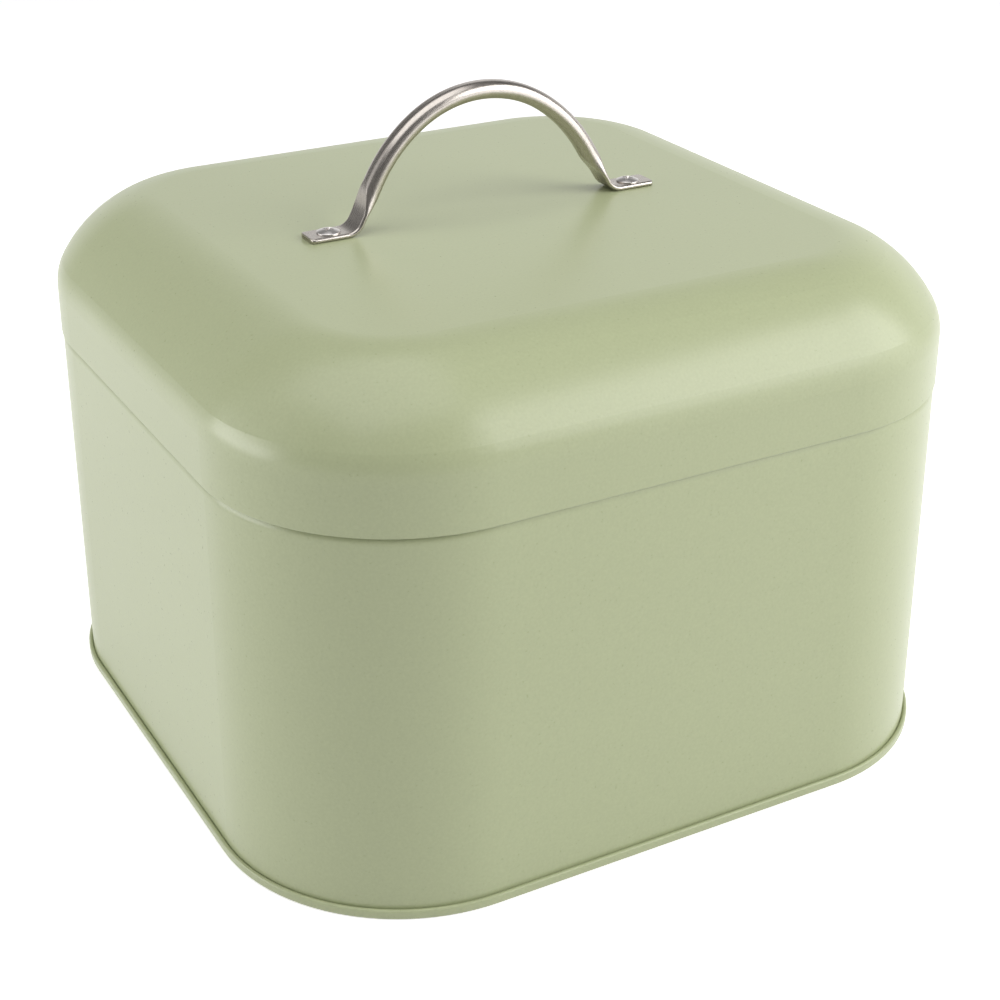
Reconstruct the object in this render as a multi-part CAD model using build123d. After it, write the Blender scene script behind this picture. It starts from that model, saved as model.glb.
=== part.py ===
"""Square bread tin with a lift-off domed lid and an arched tube handle, in millimetres.

The origin is the middle of the footprint on the table, +Z is up and the front is -Y.
"""
from build123d import *
import math
import os

# The box: a wrapped sheet wall on a double-seamed base
width = 260.0
depth = 256.0
corner_radius = 64.5
sheet = 0.5
seam_gap = 0.05
rim_height = 3.5
seam_bend = 0.3
roll_relief = 0.01
base_rise = 3.2
base_bend = 0.8
base_step_inset = 14.0
base_step_width = 2.5
base_step_rise = 1.2

# The neck that the lid slides over, and its rolled mouth
step_z = 129.4
step_bend = 4.0
neck_height = 10.5
curl_radius = 1.5
curl_turn = 290.0

# The wall's folded side seam, inside the middle of the back
side_seam_width = 5.0
side_seam_groove = 0.25
side_seam_clearance = 1.0

# The lid: folded hem, straight skirt, shoulder of three arcs, flat top
lid_seat = 2.6
lid_overhang = 0.5
lid_gap = 0.45
hem_gap = 0.1
hem_height = 3.5
skirt_height = 17.2
knee_radius = 16.5
slope_radius = 48.5
brow_radius = 32.7
knee_angle = 30.0
slope_angle = 30.0

# The handle: a tube bent to an arch, its ends pressed flat and turned outwards
screw_spacing = 116.8
head_to_bend = 1.2
handle_rise = 41.8
crown_angle = 34.0
flank_radius = 54.0
leg_angle = 60.0
tube_diameter = 7.1
arch_thickness = 6.1
tube_wall = 0.75
tab_thickness = 1.7
tab_reach = 8.0
tab_corner = 1.2
tab_bend = 6.0
round_leg = 0.8
flat_leg = 2.5
press_stations = 4

# M4 pan-head screws from above, with a washer and a nut under the lid
screw_diameter = 4.0
screw_length = 8.0
head_diameter = 8.0
head_edge = 0.9
head_height = 1.8
recess_width = 4.2
recess_slot = 0.9
recess_depth = 1.1
recess_turn = 45.0
hole_gap = 0.2
nut_gap = 0.04
washer_diameter = 9.0
washer_thickness = 0.8
nut_flats = 7.0
nut_height = 3.2

# Places that follow from the sizes above
lid_z = step_z + lid_seat
neck_inset = 2 * sheet + hem_gap + lid_gap - lid_overhang
rim_proud = 3 * (sheet + seam_gap)
seam_roll = sheet + seam_gap
brow_angle = 90.0 - knee_angle - slope_angle


def outline(offset=0.0):
    """Plan outline of the box, moved outwards by offset, from the middle of the right side."""
    half_x = width / 2 + offset
    half_y = depth / 2 + offset
    radius = corner_radius + offset
    flat_x = half_x - radius
    flat_y = half_y - radius
    path = Line((half_x, 0), (half_x, flat_y))
    path += JernArc(path @ 1, (0, 1), radius, 90)
    path += Line(path @ 1, (-flat_x, half_y))
    path += JernArc(path @ 1, (-1, 0), radius, 90)
    path += Line(path @ 1, (-half_x, -flat_y))
    path += JernArc(path @ 1, (0, -1), radius, 90)
    path += Line(path @ 1, (flat_x, -half_y))
    path += JernArc(path @ 1, (1, 0), radius, 90)
    path += Line(path @ 1, (half_x, 0))
    return path


def plate(offset, bottom, thickness):
    """Flat sheet whose edge is the plan outline moved by offset."""
    return Pos(0, 0, bottom) * extrude(make_face(outline(offset)), thickness)


def ring(centreline):
    """Sheet strip swept round the box, from its section's centreline.

    In the section x is the distance out from the wall's outer face and y is the height.
    """
    start = Plane(origin=(width / 2, 0, 0), x_dir=(1, 0, 0), z_dir=(0, -1, 0))
    section = trace(centreline, line_width=sheet).face()
    return sweep(start * section, path=Wire(outline().edges()))


def make_body_wall():
    """Wrapped wall: hook in the base seam, straight side, step, neck and rolled mouth."""
    middle = -sheet / 2
    hook_x = 2 * seam_gap + 1.5 * sheet
    hook_z = 1.5 * sheet + seam_gap
    hook_top = rim_height - sheet / 2 - seam_roll
    foot = FilletPolyline(
        (hook_x, hook_top), (hook_x, hook_z), (middle, hook_z), (middle, step_z), radius=seam_bend
    )
    step_angle = math.degrees(math.acos(1 - neck_inset / (2 * step_bend)))
    lower = JernArc(foot @ 1, (0, 1), step_bend, step_angle)
    upper = JernArc(lower @ 1, lower % 1, step_bend, -step_angle)
    neck = Line(upper @ 1, upper @ 1 + Vector(0, neck_height))
    mouth = JernArc(neck @ 1, (0, 1), curl_radius - sheet / 2, curl_turn)
    wall = ring(Curve() + [foot, lower, upper, neck, mouth])

    fold_bottom = base_rise + base_step_rise + sheet + side_seam_clearance
    fold_height = step_z - side_seam_clearance - fold_bottom
    fold = Pos(0, depth / 2 - 1.5 * sheet, fold_bottom + fold_height / 2) * Box(
        side_seam_width, sheet, fold_height
    )
    groove = Pos(side_seam_width / 2, depth / 2, fold_bottom + fold_height / 2) * Box(
        side_seam_groove, side_seam_groove, fold_height
    )
    return wall + fold - groove


def make_base_panel():
    """Recessed base whose edge is rolled round the wall's hook in a double seam."""
    inner_x = -1.5 * sheet - seam_gap
    outer_x = rim_proud - sheet / 2
    cover_x = seam_gap + sheet / 2
    cover_end = 2 * sheet + 2 * seam_gap + seam_bend
    panel_z = base_rise
    raised_z = base_rise + base_step_rise
    outer_bend = seam_bend + seam_roll
    roll = seam_roll - roll_relief
    section = FilletPolyline(
        (-base_step_inset - base_step_width - base_bend, raised_z),
        (-base_step_inset - base_step_width, raised_z),
        (-base_step_inset, panel_z),
        (inner_x, panel_z),
        (inner_x, sheet / 2),
        (outer_x, sheet / 2),
        (outer_x, rim_height - sheet / 2),
        (cover_x, rim_height - sheet / 2),
        (cover_x, cover_end),
        radius=[base_bend, base_bend, base_bend, outer_bend, outer_bend, roll, roll],
    )
    middle = plate(-base_step_inset - base_step_width - base_bend, raised_z - sheet / 2, sheet)
    return ring(section) + middle


def lid_section():
    """Centreline of the lid's sheet, from the hem's inner edge to the flat top."""
    skirt_x = lid_overhang - sheet / 2
    hem_roll = (sheet + hem_gap) / 2
    fold_z = lid_z + sheet / 2 + hem_roll
    inner_leg = Line((skirt_x - 2 * hem_roll, lid_z + hem_height), (skirt_x - 2 * hem_roll, fold_z))
    fold = JernArc(inner_leg @ 1, (0, -1), hem_roll, 180)
    skirt = Line(fold @ 1, (skirt_x, lid_z + skirt_height))
    knee = JernArc(skirt @ 1, (0, 1), knee_radius - sheet / 2, knee_angle)
    slope = JernArc(knee @ 1, knee % 1, slope_radius - sheet / 2, slope_angle)
    brow = JernArc(slope @ 1, slope % 1, brow_radius - sheet / 2, brow_angle)
    return Curve() + [inner_leg, fold, skirt, knee, slope, brow]


lid_line = lid_section()
lid_flat_inset = -(lid_line @ 1).X
lid_top = (lid_line @ 1).Y + sheet / 2


def screw_places():
    """The two screw axes on the lid, left then right."""
    return (-screw_spacing / 2, screw_spacing / 2)


def screw_hole(x, z):
    """What a screw's clearance hole takes away, centred at height z."""
    return Pos(x, 0, z) * Cylinder(screw_diameter / 2 + hole_gap, screw_length)


def make_lid_shell():
    """Drawn lid with a folded hem and two clearance holes for the handle's screws."""
    shell = ring(lid_line) + plate(-lid_flat_inset, lid_top - sheet, sheet)
    for x in screw_places():
        shell -= screw_hole(x, lid_top)
    return shell


def tube_breadth(thickness):
    """Breadth of the tube once it is pressed to thickness with its girth unchanged."""
    return thickness + math.pi * (tube_diameter - thickness) / 2


def tube_section(thickness, shrink):
    """The tube's pressed section, less shrink all round."""
    return SlotOverall(tube_breadth(thickness) - 2 * shrink, thickness - 2 * shrink).face()


def arc_reach(start_angle, end_angle):
    """How far out an arc of radius 1 ends from the straight leg's line at the arc's start."""
    start = math.radians(start_angle)
    end = math.radians(end_angle)
    down = (math.cos(start) - math.cos(end)) / math.tan(math.radians(leg_angle))
    return math.sin(end) - math.sin(start) - down


def crown_size():
    """Radius of the arch's crown that lets the legs bend into the tabs clear of the screws."""
    tab_start_x = screw_spacing / 2 - head_diameter / 2 - head_to_bend
    leg_reach = (handle_rise - tab_thickness / 2) / math.tan(math.radians(leg_angle))
    flank_reach = flank_radius * arc_reach(crown_angle, leg_angle)
    bend_reach = tab_bend * arc_reach(0, leg_angle)
    return (tab_start_x - leg_reach - flank_reach - bend_reach) / arc_reach(0, crown_angle)


def half_handle(shrink, tip_extra):
    """Right half of the handle's outside, or of its hollow when shrink is the tube's wall."""
    turn = math.radians(leg_angle)
    crown_radius = crown_size()
    top = Vector(0, 0, lid_top + handle_rise)
    crown_centre = top - Vector(0, 0, crown_radius)
    crown = Edge.make_circle(
        crown_radius,
        Plane(origin=crown_centre, x_dir=(0, 0, 1), z_dir=(0, 1, 0)),
        start_angle=0,
        end_angle=crown_angle,
    )
    flank_centre = crown_centre + (crown_centre - crown @ 1) * (flank_radius / crown_radius - 1)
    flank = Edge.make_circle(
        flank_radius,
        Plane(origin=flank_centre, x_dir=(0, 0, 1), z_dir=(0, 1, 0)),
        start_angle=crown_angle,
        end_angle=leg_angle,
    )
    down_leg = Vector(math.cos(turn), 0, -math.sin(turn))
    leg_start = flank @ 1
    tab_z = lid_top + tab_thickness / 2
    leg_length = (leg_start.Z - tab_z - tab_bend * (1 - math.cos(turn))) / math.sin(turn)
    press_length = leg_length - round_leg - flat_leg
    bend_start = leg_start + down_leg * leg_length
    bend_centre = bend_start + Vector(math.sin(turn), 0, math.cos(turn)) * tab_bend
    bend = Edge.make_circle(
        tab_bend,
        Plane(origin=bend_centre, x_dir=(-math.sin(turn), 0, -math.cos(turn)), z_dir=(0, -1, 0)),
        start_angle=0,
        end_angle=leg_angle,
    )
    tab_start = bend @ 1
    tab_length = screw_spacing / 2 + tab_reach + tip_extra - tab_start.X

    def section(point, along, thickness):
        return Plane(origin=point, x_dir=(0, 1, 0), z_dir=along) * tube_section(thickness, shrink)

    stations = []
    for index in range(press_stations + 1):
        share = index / press_stations
        smooth = share * share * (3 - 2 * share)
        thickness = arch_thickness + (tab_thickness - arch_thickness) * smooth
        place = leg_start + down_leg * (round_leg + press_length * share)
        stations.append(section(place, down_leg, thickness))

    half = sweep(section(top, Vector(1, 0, 0), arch_thickness), path=crown)
    half += sweep(section(crown @ 1, crown % 1, arch_thickness), path=flank)
    half += extrude(section(leg_start, down_leg, arch_thickness), round_leg, dir=down_leg)
    half += loft(stations)
    flat_start = bend_start - down_leg * flat_leg
    half += extrude(section(flat_start, down_leg, tab_thickness), flat_leg, dir=down_leg)
    half += sweep(section(bend_start, down_leg, tab_thickness), path=bend)
    half += extrude(section(tab_start, Vector(1, 0, 0), tab_thickness), tab_length, dir=(1, 0, 0))
    return half


def make_handle():
    """Hollow arched handle with a slit at each pressed end, where the tube's walls meet."""
    half = half_handle(0.0, 0.0) - half_handle(tube_wall, tube_diameter)
    tip = screw_spacing / 2 + tab_reach
    side = tube_breadth(tab_thickness) / 2
    for y in (-side, side):
        middle_y = y - math.copysign(tab_corner, y)
        corner = Pos(tip, y) * Rectangle(2 * tab_corner, 2 * tab_corner)
        corner -= Pos(tip - tab_corner, middle_y) * Circle(tab_corner)
        half -= extrude(Pos(0, 0, lid_top) * corner, tab_thickness)
    half -= screw_hole(screw_spacing / 2, lid_top + tab_thickness / 2)
    return half + mirror(half, Plane.YZ)


def make_screw(x):
    """Pan-head screw with a cross recess, seated on the handle's tab."""
    seat = lid_top + tab_thickness
    radius = head_diameter / 2
    profile = Line((0, -screw_length), (screw_diameter / 2, -screw_length))
    profile += Line(profile @ 1, (screw_diameter / 2, 0))
    profile += Line(profile @ 1, (radius, 0))
    profile += Line(profile @ 1, (radius, head_edge))
    crown = head_height - head_edge
    crown_radius = (radius**2 + crown**2) / (2 * crown)
    profile += RadiusArc(profile @ 1, (0, head_height), -crown_radius)
    profile += Line((0, head_height), (0, -screw_length))
    solid = revolve(Plane.XZ * make_face(profile), Axis.Z)
    for turn in (recess_turn, recess_turn + 90):
        slot = Box(recess_width, recess_slot, 2 * recess_depth)
        solid -= Pos(0, 0, head_height) * Rot(0, 0, turn) * slot
    return Pos(x, 0, seat) * solid


def make_washer(x):
    """Plain washer against the underside of the lid."""
    top = lid_top - sheet
    disc = Pos(x, 0, top - washer_thickness / 2) * Cylinder(washer_diameter / 2, washer_thickness)
    return disc - screw_hole(x, top)


def make_nut(x):
    """Hexagon nut under the washer."""
    top = lid_top - sheet - washer_thickness
    block = extrude(RegularPolygon(nut_flats / 2, 6, major_radius=False), nut_height)
    block -= Pos(0, 0, nut_height / 2) * Cylinder(screw_diameter / 2 + nut_gap, nut_height)
    return Pos(x, 0, top - nut_height) * block


left, right = screw_places()
nodes = {
    "body_wall": make_body_wall(),
    "base_panel": make_base_panel(),
    "lid_shell": make_lid_shell(),
    "handle": make_handle(),
    "screw_left": make_screw(left),
    "screw_right": make_screw(right),
    "washer_left": make_washer(left),
    "washer_right": make_washer(right),
    "nut_left": make_nut(left),
    "nut_right": make_nut(right),
}

os.makedirs("parts", exist_ok=True)
for name, solid in nodes.items():
    export_step(solid, f"parts/{name}.step")
    print(name, "solids", len(solid.solids()), "volume", round(solid.volume, 2), "mm3")
print("flat top inset", round(lid_flat_inset, 2), "lid top", round(lid_top, 2))
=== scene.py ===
"""Looks of the bread box: powder-coated tin, satin tube handle, plain white studio. Metres."""
import math

import bpy
from mathutils import Matrix, Vector


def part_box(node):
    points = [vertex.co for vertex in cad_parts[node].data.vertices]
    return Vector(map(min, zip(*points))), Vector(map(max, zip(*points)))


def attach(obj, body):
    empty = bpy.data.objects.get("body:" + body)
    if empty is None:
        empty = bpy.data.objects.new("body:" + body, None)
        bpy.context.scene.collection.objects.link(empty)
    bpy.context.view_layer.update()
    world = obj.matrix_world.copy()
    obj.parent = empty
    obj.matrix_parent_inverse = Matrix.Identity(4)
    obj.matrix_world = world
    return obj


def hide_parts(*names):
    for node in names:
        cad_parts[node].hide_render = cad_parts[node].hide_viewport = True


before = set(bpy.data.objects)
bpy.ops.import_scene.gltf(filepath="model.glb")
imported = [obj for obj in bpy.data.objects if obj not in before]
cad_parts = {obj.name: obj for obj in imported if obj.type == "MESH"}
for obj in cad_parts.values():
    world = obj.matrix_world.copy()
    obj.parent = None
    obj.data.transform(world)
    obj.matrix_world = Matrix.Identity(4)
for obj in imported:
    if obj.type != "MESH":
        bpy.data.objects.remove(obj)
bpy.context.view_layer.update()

# The camera, from the photo's outlines: azimuth is degrees from -Y towards +X
focal_px = 1946.859
camera_azimuth = -28.428
camera_elevation = 23.733
camera_distance = 0.698753
camera_target = Vector((-0.000987, 0.001328, 0.107954))
camera_roll = -0.257
camera_shift = (0.020, -0.100)
image_px = 1000
sensor_width = 36.0

# The studio: azimuths are degrees from +X towards +Y, radiance 1 is white
softboxes = {
    "right_low": {
        "azimuth": 320, "distance": 1.25, "bottom": 0.02, "width": 1.20, "height": 0.40, "radiance": 1.7,
    },
    "right_high": {
        "azimuth": 317, "distance": 1.25, "bottom": 0.42, "width": 1.25, "height": 1.08, "radiance": 4.2,
    },
    "left_low": {
        "azimuth": 161, "distance": 1.25, "bottom": 0.02, "width": 0.95, "height": 0.40, "radiance": 5.0,
    },
    "left_high": {
        "azimuth": 162, "distance": 1.25, "bottom": 0.42, "width": 1.10, "height": 1.08, "radiance": 0.5,
    },
}
ceiling_height = 1.6
ceiling_size = 1.6
ceiling_place = (-0.4, -0.2)
ceiling_radiance = 1.7
backdrop_azimuth = 50.0
backdrop_flatness = 3.0
backdrop_edges = (0.30, 0.75)
backdrop_radiance = 1.0
room_radiance = 0.16
floor_reach = 6.0
floor_colour = 0.8
floor_glow = 0.62
floor_mirror_glow = 0.65

# The powder coat
coat_colour = (0.43, 0.47, 0.28)
coat_roughness = 0.30
peel_size = 0.0012
peel_height = 0.000020
wave_size = 0.009
wave_height = 0.00003
mottle_share = 0.8
mottle_range = (0.25, 0.75)
mottle_shade = (0.96, 1.04)
mottle_roughness = 0.03
speck_spacing = 0.011
speck_radius = 0.00022
speck_share = 0.10
speck_shade = 0.45

# The metals: cloud_grains is the size of their faint clouds, in grains
metals = {
    "satin_steel": {
        "colour": (0.52, 0.48, 0.44), "roughness": 0.27, "grain_size": 0.00012, "grain_depth": 0.000003,
        "stretch": 40.0, "place": "UV",
    },
    "screw_steel": {
        "colour": (0.74, 0.71, 0.69), "roughness": 0.32, "grain_size": 0.0003, "grain_depth": 0.000004,
        "stretch": 1.0, "place": "Object",
    },
    "zinc_plate": {
        "colour": (0.60, 0.61, 0.62), "roughness": 0.32, "grain_size": 0.0004, "grain_depth": 0.000006,
        "stretch": 1.0, "place": "Object",
    },
}
grain_range = (0.3, 0.7)
grain_roughness = (0.85, 1.15)
cloud_grains = 12
cloud_shade = (0.95, 1.05)

# The handle's tube, as the CAD bends and presses it, but with its arch leaning back
crown_angle = math.radians(34.0)
flank_radius = 0.054
leg_angle = math.radians(60.0)
arch_lean = 0.056
tube_diameter = 0.0071
arch_thickness = 0.0061
tab_thickness = 0.0017
tab_bend = 0.006
head_to_bend = 0.0012
round_leg = 0.0008
flat_leg = 0.0025
tab_corner = 0.0012
crease_lag = 3.0
crease_width = 0.00012
crease_share = 0.3
edge_bevel = 0.00012
slit_height = 0.0002
slit_depth = 0.0008
slit_edge = 0.0008
hole_diameter = 0.0044
hole_segments = 64
handle_sharp_degrees = 45.0

# How many sections each stretch of the half handle has
crown_steps = 36
flank_steps = 32
leg_steps = 60
bend_steps = 20
tab_steps = 8
corner_steps = 8

# The pan-head screws: seat_depth is from the top of the CAD's head down to the tab
seat_depth = 0.0018
head_edge = 0.0004
head_height = 0.0014
head_round = 0.0002
round_steps = 6
dome_steps = 12
screw_diameter = 0.004
screw_chamfer = 0.0004
recess_turn = math.radians(45.0)
recess_depth = 0.0011
recess_above = 0.0004
recess_top = (0.0042, 0.0009)
recess_floor = (0.0018, 0.0005)
screw_sharp_degrees = 30.0


def add_camera():
    """Camera at the photo's viewing angle, with a small shift for the photo's framing."""
    azimuth = math.radians(camera_azimuth)
    elevation = math.radians(camera_elevation)
    roll = math.radians(camera_roll)
    back = Vector(
        (
            math.sin(azimuth) * math.cos(elevation),
            -math.cos(azimuth) * math.cos(elevation),
            math.sin(elevation),
        )
    )
    level = Vector((0, 0, 1)).cross(back).normalized()
    upward = back.cross(level)
    right = math.cos(roll) * level + math.sin(roll) * upward
    up = -math.sin(roll) * level + math.cos(roll) * upward
    data = bpy.data.cameras.new("camera")
    data.sensor_width = sensor_width
    data.lens = focal_px * sensor_width / image_px
    data.shift_x, data.shift_y = camera_shift
    camera = place_object("camera", data)
    place = camera_target + back * camera_distance
    camera.matrix_world = Matrix.Translation(place) @ Matrix((right, up, back)).transposed().to_4x4()
    bpy.context.scene.camera = camera


def place_object(name, data):
    """Object with the given data, in the scene."""
    made = bpy.data.objects.new(name, data)
    bpy.context.scene.collection.objects.link(made)
    return made


def add_panel(name, width, height, radiance):
    """Lit rectangle that the camera doesn't see, facing down at the origin."""
    data = bpy.data.lights.new(name, "AREA")
    data.shape = "RECTANGLE"
    data.size = width
    data.size_y = height
    data.energy = radiance * math.pi * width * height
    light = place_object(name, data)
    light.visible_camera = False
    return light


def add_softbox(name, azimuth, distance, bottom, width, height, radiance):
    """Upright lit panel that stands round the object and faces it."""
    light = add_panel(name, width, height, radiance)
    turn = math.radians(azimuth)
    away = Vector((math.cos(turn), math.sin(turn), 0))
    up = Vector((0, 0, 1))
    place = away * distance + up * (bottom + height / 2)
    light.matrix_world = Matrix.Translation(place) @ Matrix((up.cross(away), up, away)).transposed().to_4x4()


def add_ceiling():
    """Level lit panel over the object."""
    light = add_panel("ceiling", ceiling_size, ceiling_size, ceiling_radiance)
    light.location = (*ceiling_place, ceiling_height)


def add_world():
    """White to the camera. To all else it is a white backdrop behind the object and a dim room."""
    world = bpy.data.worlds.new("studio")
    bpy.context.scene.world = world
    world.use_nodes = True
    nodes = world.node_tree.nodes
    links = world.node_tree.links
    background = nodes["Background"]
    background.inputs["Color"].default_value = (1, 1, 1, 1)
    turn = math.radians(backdrop_azimuth)
    towards = (math.cos(turn), math.sin(turn), 0)

    direction = nodes.new("ShaderNodeTexCoord").outputs["Generated"]
    flat = vector_math(nodes, links, "MULTIPLY", direction, (1, 1, backdrop_flatness)).outputs["Vector"]
    unit = vector_math(nodes, links, "NORMALIZE", flat).outputs["Vector"]
    facing = vector_math(nodes, links, "DOT_PRODUCT", unit, towards).outputs["Value"]
    studio = nodes.new("ShaderNodeMapRange")
    studio.interpolation_type = "SMOOTHSTEP"
    studio.inputs["From Min"].default_value, studio.inputs["From Max"].default_value = backdrop_edges
    studio.inputs["To Min"].default_value = room_radiance
    studio.inputs["To Max"].default_value = backdrop_radiance
    links.new(facing, studio.inputs["Value"])

    paths = nodes.new("ShaderNodeLightPath")
    strength = nodes.new("ShaderNodeMix")
    strength.data_type = "FLOAT"
    strength.inputs["B"].default_value = 1
    links.new(paths.outputs["Is Camera Ray"], strength.inputs["Factor"])
    links.new(studio.outputs["Result"], strength.inputs["A"])
    links.new(strength.outputs["Result"], background.inputs["Strength"])


def add_floor():
    """Pale floor that glows for the camera and in reflections, and keeps the object's shadow."""
    corners = [(x * floor_reach, y * floor_reach, 0) for x, y in ((-1, -1), (1, -1), (1, 1), (-1, 1))]
    made, nodes, links = material("floor_paper")
    floor = make_object("floor", corners, [(0, 1, 2, 3)], made)
    shader = nodes["Principled BSDF"]
    shader.inputs["Base Color"].default_value = (floor_colour, floor_colour, floor_colour, 1)
    shader.inputs["Roughness"].default_value = 1.0
    shader.inputs["Specular IOR Level"].default_value = 0.0
    shader.inputs["Emission Color"].default_value = (1, 1, 1, 1)
    seen = nodes.new("ShaderNodeLightPath").outputs
    bounced = plain_math(nodes, links, "ADD", seen["Is Glossy Ray"], seen["Is Transmission Ray"])
    mirrored = plain_math(nodes, links, "MULTIPLY", bounced, floor_mirror_glow)
    glow = plain_math(nodes, links, "MULTIPLY_ADD", seen["Is Camera Ray"], floor_glow, mirrored)
    links.new(glow, shader.inputs["Emission Strength"])


def material(name):
    """New material, with its nodes and links."""
    made = bpy.data.materials.new(name)
    made.use_nodes = True
    return made, made.node_tree.nodes, made.node_tree.links


def feed(links, socket, value):
    """Links a node's output to the socket, or sets the socket to a plain value."""
    if isinstance(value, bpy.types.NodeSocket):
        links.new(value, socket)
    else:
        socket.default_value = value


def plain_math(nodes, links, operation, *values):
    """Output of a math node on outputs or plain numbers."""
    node = nodes.new("ShaderNodeMath")
    node.operation = operation
    for socket, value in zip(node.inputs, values):
        feed(links, socket, value)
    return node.outputs["Value"]


def vector_math(nodes, links, operation, *values):
    """Vector math node on outputs or plain vectors."""
    node = nodes.new("ShaderNodeVectorMath")
    node.operation = operation
    for socket, value in zip(node.inputs, values):
        feed(links, socket, value)
    return node


def noise(nodes, links, coordinates, size, detail):
    """Noise with features of the given size, in metres."""
    node = nodes.new("ShaderNodeTexNoise")
    node.inputs["Scale"].default_value = 1 / size
    node.inputs["Detail"].default_value = detail
    links.new(coordinates, node.inputs["Vector"])
    return node.outputs["Fac"]


def bump(nodes, links, height, depth, under=None):
    """Bump of the given depth, in metres, over the normal of another bump."""
    node = nodes.new("ShaderNodeBump")
    node.inputs["Distance"].default_value = depth
    links.new(height, node.inputs["Height"])
    if under is not None:
        links.new(under, node.inputs["Normal"])
    return node.outputs["Normal"]


def ramp(nodes, links, value, source, target):
    """Value remapped from the source range to the target range, and held beyond them."""
    node = nodes.new("ShaderNodeMapRange")
    node.inputs["From Min"].default_value, node.inputs["From Max"].default_value = source
    node.inputs["To Min"].default_value, node.inputs["To Max"].default_value = target
    links.new(value, node.inputs["Value"])
    return node.outputs["Result"]


def shade(nodes, links, colour, factor):
    """Colour multiplied by a factor from a node."""
    node = vector_math(nodes, links, "SCALE", colour)
    links.new(factor, node.inputs["Scale"])
    return node.outputs["Vector"]


def specks(nodes, links, place):
    """1 inside a small round speck in a few of the cells, and 0 elsewhere."""
    cells = nodes.new("ShaderNodeTexVoronoi")
    cells.inputs["Scale"].default_value = 1 / speck_spacing
    links.new(place, cells.inputs["Vector"])
    chance = nodes.new("ShaderNodeSeparateColor")
    links.new(cells.outputs["Color"], chance.inputs["Color"])
    sizes = (speck_radius / speck_spacing, 0.0)
    reach = ramp(nodes, links, chance.outputs["Red"], (0.0, speck_share), sizes)
    return plain_math(nodes, links, "LESS_THAN", cells.outputs["Distance"], reach)


def powder_coat():
    """Satin powder coat: orange peel, faint mottling and a few dark specks."""
    made, nodes, links = material("powder_coat")
    shader = nodes["Principled BSDF"]
    place = nodes.new("ShaderNodeTexCoord").outputs["Object"]
    peel = noise(nodes, links, place, peel_size, 1.0)
    wave = noise(nodes, links, place, wave_size, 1.0)
    mottle = noise(nodes, links, place, peel_size * mottle_share, 3.0)
    mottled = shade(nodes, links, coat_colour, ramp(nodes, links, mottle, mottle_range, mottle_shade))
    dark = ramp(nodes, links, specks(nodes, links, place), (0, 1), (1, speck_shade))
    links.new(shade(nodes, links, mottled, dark), shader.inputs["Base Color"])
    softness = (coat_roughness - mottle_roughness, coat_roughness + mottle_roughness)
    links.new(ramp(nodes, links, mottle, mottle_range, softness), shader.inputs["Roughness"])
    waved = bump(nodes, links, wave, wave_height)
    links.new(bump(nodes, links, peel, peel_height, waved), shader.inputs["Normal"])
    return made


def metal(name, colour, roughness, grain_size, grain_depth, stretch, place):
    """Metal with a fine grain, stretched along the first coordinate."""
    made, nodes, links = material(name)
    shader = nodes["Principled BSDF"]
    shader.inputs["Metallic"].default_value = 1.0
    spot = nodes.new("ShaderNodeTexCoord").outputs[place]
    along = vector_math(nodes, links, "MULTIPLY", spot, (1 / stretch, 1, 1)).outputs["Vector"]
    grain = noise(nodes, links, along, grain_size, 3.0)
    cloud = noise(nodes, links, spot, grain_size * cloud_grains, 2.0)
    clouded = shade(nodes, links, colour, ramp(nodes, links, cloud, grain_range, cloud_shade))
    links.new(clouded, shader.inputs["Base Color"])
    softness = [roughness * share for share in grain_roughness]
    links.new(ramp(nodes, links, grain, grain_range, softness), shader.inputs["Roughness"])
    links.new(bump(nodes, links, grain, grain_depth), shader.inputs["Normal"])
    return made


def cover(node, made):
    """Puts a material on a CAD node."""
    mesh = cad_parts[node].data
    mesh.materials.clear()
    mesh.materials.append(made)


def make_object(name, points, faces, made):
    """Mesh object from points and faces, with one material slot."""
    mesh = bpy.data.meshes.new(name)
    mesh.from_pydata(points, [], faces)
    mesh.materials.append(made)
    return place_object(name, mesh)


def cut(piece, cutter):
    """Takes the cutter's solid out of the piece, for good."""
    step = piece.modifiers.new("cut", "BOOLEAN")
    step.operation = "DIFFERENCE"
    step.object = cutter
    bpy.context.view_layer.update()
    result = bpy.data.meshes.new_from_object(piece.evaluated_get(bpy.context.evaluated_depsgraph_get()))
    result.name = piece.name
    piece.modifiers.clear()
    piece.data = result
    bpy.data.objects.remove(cutter)


def prism(name, levels):
    """Solid through a stack of rectangles, each given as centre, half sizes and turn about Z."""
    points = []
    for centre, half_x, half_y, turn in levels:
        for sx, sy in ((-1, -1), (1, -1), (1, 1), (-1, 1)):
            points.append(centre + Matrix.Rotation(turn, 3, "Z") @ Vector((sx * half_x, sy * half_y, 0)))
    faces = [(3, 2, 1, 0), tuple(range(len(points) - 4, len(points)))]
    for level in range(len(levels) - 1):
        for side in range(4):
            after = (side + 1) % 4
            faces.append((4 * level + side, 4 * level + after, 4 * level + 4 + after, 4 * level + 4 + side))
    return make_object(name, points, faces, None)


def lathe(name, profile, centre, made, segments=96):
    """Solid turned from a profile of (radius, height) that starts and ends on the axis."""
    points = [centre + Vector((0, 0, profile[0][1]))]
    for radius, height in profile[1:-1]:
        for index in range(segments):
            turn = 2 * math.pi * index / segments
            points.append(centre + Vector((radius * math.cos(turn), radius * math.sin(turn), height)))
    points.append(centre + Vector((0, 0, profile[-1][1])))
    last = len(points) - 1
    rings = len(profile) - 2
    faces = []
    for index in range(segments):
        after = (index + 1) % segments
        faces.append((0, 1 + index, 1 + after))
        for ring in range(rings - 1):
            start = 1 + ring * segments
            faces.append((start + index, start + segments + index, start + segments + after, start + after))
        start = 1 + (rings - 1) * segments
        faces.append((start + index, last, start + after))
    return make_object(name, points, faces, made)


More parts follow.
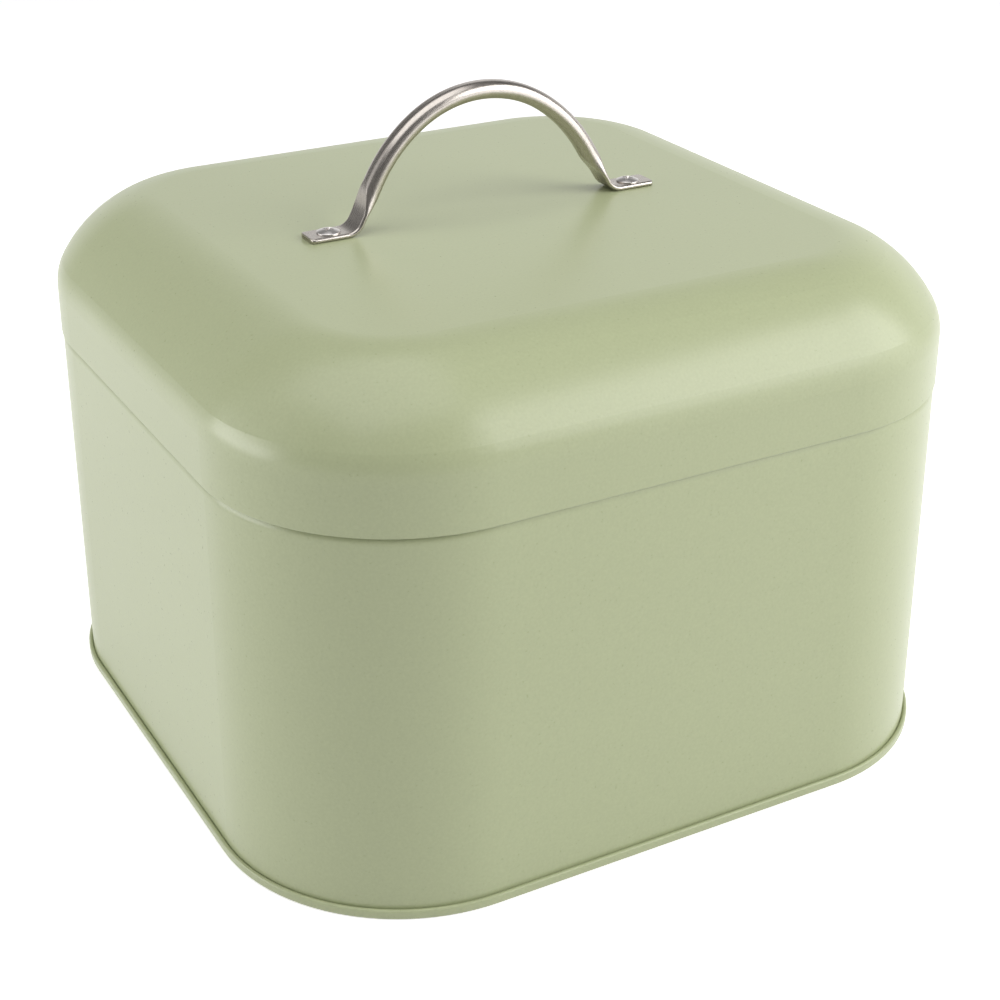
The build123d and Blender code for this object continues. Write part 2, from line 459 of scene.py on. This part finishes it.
def dress(piece, node, sharp_degrees):
    """Smooths a finished piece of the lid and puts it in the place of a CAD node."""
    piece.data.shade_smooth()
    piece.data.set_sharp_from_angle(angle=math.radians(sharp_degrees))
    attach(piece, "lid")
    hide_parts(node)


def screw_profile(radius, tip):
    """Half outline of the screw, from its tip up to the middle of its dome. The tab is at 0."""
    shank = screw_diameter / 2
    crown = head_height - head_edge
    crown_radius = (radius**2 + crown**2) / (2 * crown)
    profile = [(0, tip), (shank - screw_chamfer, tip), (shank, tip + screw_chamfer), (shank, 0), (radius, 0)]
    rim_lean = math.asin((radius - head_round) / crown_radius)
    for step in range(round_steps + 1):
        turn = (math.pi / 2 - rim_lean) * step / round_steps
        across = radius - head_round * (1 - math.cos(turn))
        profile.append((across, head_edge - head_round / 2 + head_round * math.sin(turn)))
    rim_radius = profile[-1][0]
    for step in range(1, dome_steps):
        across = rim_radius * (1 - step / dome_steps)
        drop = crown_radius - math.sqrt(crown_radius**2 - across**2)
        profile.append((across, head_height - drop))
    profile.append((0, head_height))
    return profile


def make_screw(node, made):
    """Low domed head with a tapered cross recess, on its shank."""
    low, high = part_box(node)
    centre = Vector(((low[0] + high[0]) / 2, (low[1] + high[1]) / 2, high[2] - seat_depth))
    profile = screw_profile((high[0] - low[0]) / 2, low[2] - centre.z)
    screw = lathe(node + "_turned", profile, centre, made)
    grow = recess_above / recess_depth
    for turn in (recess_turn, recess_turn + math.pi / 2):
        levels = []
        for height, share in ((head_height - recess_depth, 0.0), (head_height + recess_above, 1.0 + grow)):
            half_x, half_y = (
                (bottom + (top - bottom) * share) / 2 for top, bottom in zip(recess_top, recess_floor)
            )
            levels.append((centre + Vector((0, 0, height)), half_x, half_y, turn))
        cut(screw, prism("recess", levels))
    dress(screw, node, screw_sharp_degrees)


def arc_reach(start, end):
    """How far out an arc of radius 1 ends from the straight leg's line at the arc's start."""
    down = (math.cos(start) - math.cos(end)) / math.tan(leg_angle)
    return math.sin(end) - math.sin(start) - down


def section(x, z, lean, press, narrow=0.0, inset=0.0):
    """Section of the tube: press is 0 where it is round and 1 where it is flat."""
    thick = arch_thickness / 2
    thin = tab_thickness / 2
    quarter_girth = math.pi * tube_diameter / 4
    half = thick + (thin - thick) * press - inset
    side = max(half, thick + (thin - thick) * press**crease_lag - inset)
    turn = math.asin(min(1.0, half / side))
    flat = quarter_girth - side * turn - narrow
    return {"x": x, "z": z, "lean": lean, "half": half, "side": side, "turn": turn, "flat": flat}


def handle_sections(tip, top, tab_start):
    """Sections along the right half, from the middle of the crown to the tip."""
    rise = top - tab_thickness / 2
    bent_reach = flank_radius * arc_reach(crown_angle, leg_angle) + tab_bend * arc_reach(0, leg_angle)
    crown_radius = (tab_start - rise / math.tan(leg_angle) - bent_reach) / arc_reach(0, crown_angle)
    flank_x = crown_radius * math.sin(crown_angle)
    flank_z = top - crown_radius * (1 - math.cos(crown_angle))
    leg_x = flank_x + flank_radius * (math.sin(leg_angle) - math.sin(crown_angle))
    leg_z = flank_z - flank_radius * (math.cos(crown_angle) - math.cos(leg_angle))
    bend_z = tab_thickness / 2 + tab_bend * (1 - math.cos(leg_angle))
    leg_length = (leg_z - bend_z) / math.sin(leg_angle)
    bend_x = leg_x + leg_length * math.cos(leg_angle)
    press_length = leg_length - round_leg - flat_leg
    tab_z = tab_thickness / 2

    rows = []
    for step in range(crown_steps):
        lean = crown_angle * step / crown_steps
        x = crown_radius * math.sin(lean)
        z = top - crown_radius * (1 - math.cos(lean))
        rows.append(section(x, z, lean, 0.0))
    for step in range(flank_steps):
        lean = crown_angle + (leg_angle - crown_angle) * step / flank_steps
        x = flank_x + flank_radius * (math.sin(lean) - math.sin(crown_angle))
        z = flank_z - flank_radius * (math.cos(crown_angle) - math.cos(lean))
        rows.append(section(x, z, lean, 0.0))
    for step in range(leg_steps):
        down = leg_length * step / leg_steps
        share = min(1.0, max(0.0, (down - round_leg) / press_length))
        press = share * share * (3 - 2 * share)
        x = leg_x + down * math.cos(leg_angle)
        z = leg_z - down * math.sin(leg_angle)
        rows.append(section(x, z, leg_angle, press))
    for step in range(bend_steps):
        lean = leg_angle * (1 - step / bend_steps)
        x = bend_x + tab_bend * (math.sin(leg_angle) - math.sin(lean))
        z = bend_z - tab_bend * (math.cos(lean) - math.cos(leg_angle))
        rows.append(section(x, z, lean, 1.0))
    for step in range(tab_steps):
        x = tab_start + (tip - tab_corner - tab_start) * step / tab_steps
        rows.append(section(x, tab_z, 0.0, 1.0))
    for step in range(corner_steps):
        turn = math.pi / 2 * step / corner_steps
        x = tip - edge_bevel - (tab_corner - edge_bevel) * (1 - math.sin(turn))
        rows.append(section(x, tab_z, 0.0, 1.0, narrow=tab_corner * (1 - math.cos(turn))))
    rows.append(section(tip - edge_bevel, tab_z, 0.0, 1.0, narrow=tab_corner))
    rows.append(section(tip, tab_z, 0.0, 1.0, narrow=tab_corner + edge_bevel, inset=edge_bevel))
    return rows


def ring_offsets(row, arc_steps=14, flat_steps=8):
    """Section as (breadth, height) offsets: a side arc, a flat, the other arc and the other flat."""
    half, side, turn, flat = row["half"], row["side"], row["turn"], row["flat"]
    soft = min(crease_width, flat * crease_share)
    half_ring = []
    for step in range(arc_steps + 1):
        angle = turn * (2 * step / arc_steps - 1)
        half_ring.append((flat + side * math.cos(angle) - side * math.cos(turn), side * math.sin(angle)))
    for step in range(flat_steps + 1):
        half_ring.append(((flat - soft) * (1 - 2 * step / flat_steps), half))
    return half_ring + [(-breadth, -height) for breadth, height in half_ring]


def tube_ring(row, side, seat):
    """Points round one section of the tube, on the left (-1) or the right (1) of the handle."""
    ring = []
    for breadth, height in ring_offsets(row):
        x = row["x"] + height * math.sin(row["lean"])
        z = seat + row["z"] + height * math.cos(row["lean"])
        back = arch_lean * max(0.0, z - seat - tab_thickness)
        ring.append(Vector((side * x, breadth + back, z)))
    return ring


def slit_ring(end, side, seat, inset):
    """Points round the slit between the tube's pressed walls, at a depth inside its end."""
    reach = end["flat"] + end["side"]
    shrink = (reach - slit_edge) / reach
    ring = []
    for breadth, height in ring_offsets(end):
        z = seat + end["z"] + height * slit_height / tab_thickness
        ring.append(Vector((side * (end["x"] - inset), breadth * shrink, z)))
    return ring


def unwrap(piece, rings):
    """Coordinates in metres on the skin between the rings: along the tube, and round it."""
    count = len(rings[0])
    along = [0.0]
    for before, after in zip(rings, rings[1:]):
        step = sum((b - a).length for a, b in zip(before, after)) / count
        along.append(along[-1] + step)
    girth = []
    for ring in rings:
        around = [0.0]
        for index in range(count):
            around.append(around[-1] + (ring[(index + 1) % count] - ring[index]).length)
        girth.append(around)
    layer = piece.data.uv_layers.new(name="grain").data
    for band in range(len(rings) - 1):
        for index in range(count):
            face = piece.data.polygons[band * count + index]
            spots = ((band, index), (band + 1, index), (band + 1, index + 1), (band, index + 1))
            for loop, (ring, spot) in zip(face.loop_indices, spots):
                layer[loop].uv = (along[ring], girth[ring][spot])


def make_handle(made):
    """Bent tube with pressed ends, a slit where its walls meet, and two screw holes."""
    low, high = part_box("handle")
    screw_low, screw_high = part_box("screw_right")
    screw_x = (screw_low[0] + screw_high[0]) / 2
    seat = low[2]
    top = high[2] - arch_thickness / 2 - seat
    rows = handle_sections(high[0], top, screw_low[0] - head_to_bend)
    end = rows[-1]
    rings = [slit_ring(end, -1, seat, inset) for inset in (slit_depth, 0.0)]
    rings += [tube_ring(row, -1, seat) for row in reversed(rows)]
    rings += [tube_ring(row, 1, seat) for row in rows[1:]]
    rings += [slit_ring(end, 1, seat, inset) for inset in (0.0, slit_depth)]

    points = [point for ring in rings for point in ring]
    count = len(rings[0])
    faces = []
    for band in range(len(rings) - 1):
        start = band * count
        for index in range(count):
            other = (index + 1) % count
            faces.append((start + index, start + count + index, start + count + other, start + other))
    faces.append(tuple(range(count)))
    faces.append(tuple(reversed(range(len(points) - count, len(points)))))
    handle = make_object("handle_tube", points, faces, made)
    unwrap(handle, rings)

    hole_radius = hole_diameter / 2
    hole = [(0, -tab_thickness), (hole_radius, -tab_thickness)]
    hole += [(hole_radius, 2 * tab_thickness), (0, 2 * tab_thickness)]
    for x in (-screw_x, screw_x):
        cut(handle, lathe("hole", hole, Vector((x, 0, seat)), None, hole_segments))
    dress(handle, "handle", handle_sharp_degrees)


add_camera()
for name, sizes in softboxes.items():
    add_softbox(name, **sizes)
add_ceiling()
add_world()
add_floor()

coat = powder_coat()
for node in ("body_wall", "base_panel", "lid_shell"):
    cover(node, coat)
finishes = {name: metal(name, **values) for name, values in metals.items()}
make_handle(finishes["satin_steel"])
for node in ("screw_left", "screw_right"):
    make_screw(node, finishes["screw_steel"])
for node in ("washer_left", "washer_right", "nut_left", "nut_right"):
    cover(node, finishes["zinc_plate"])

bpy.context.scene.view_settings.view_transform = "Standard"
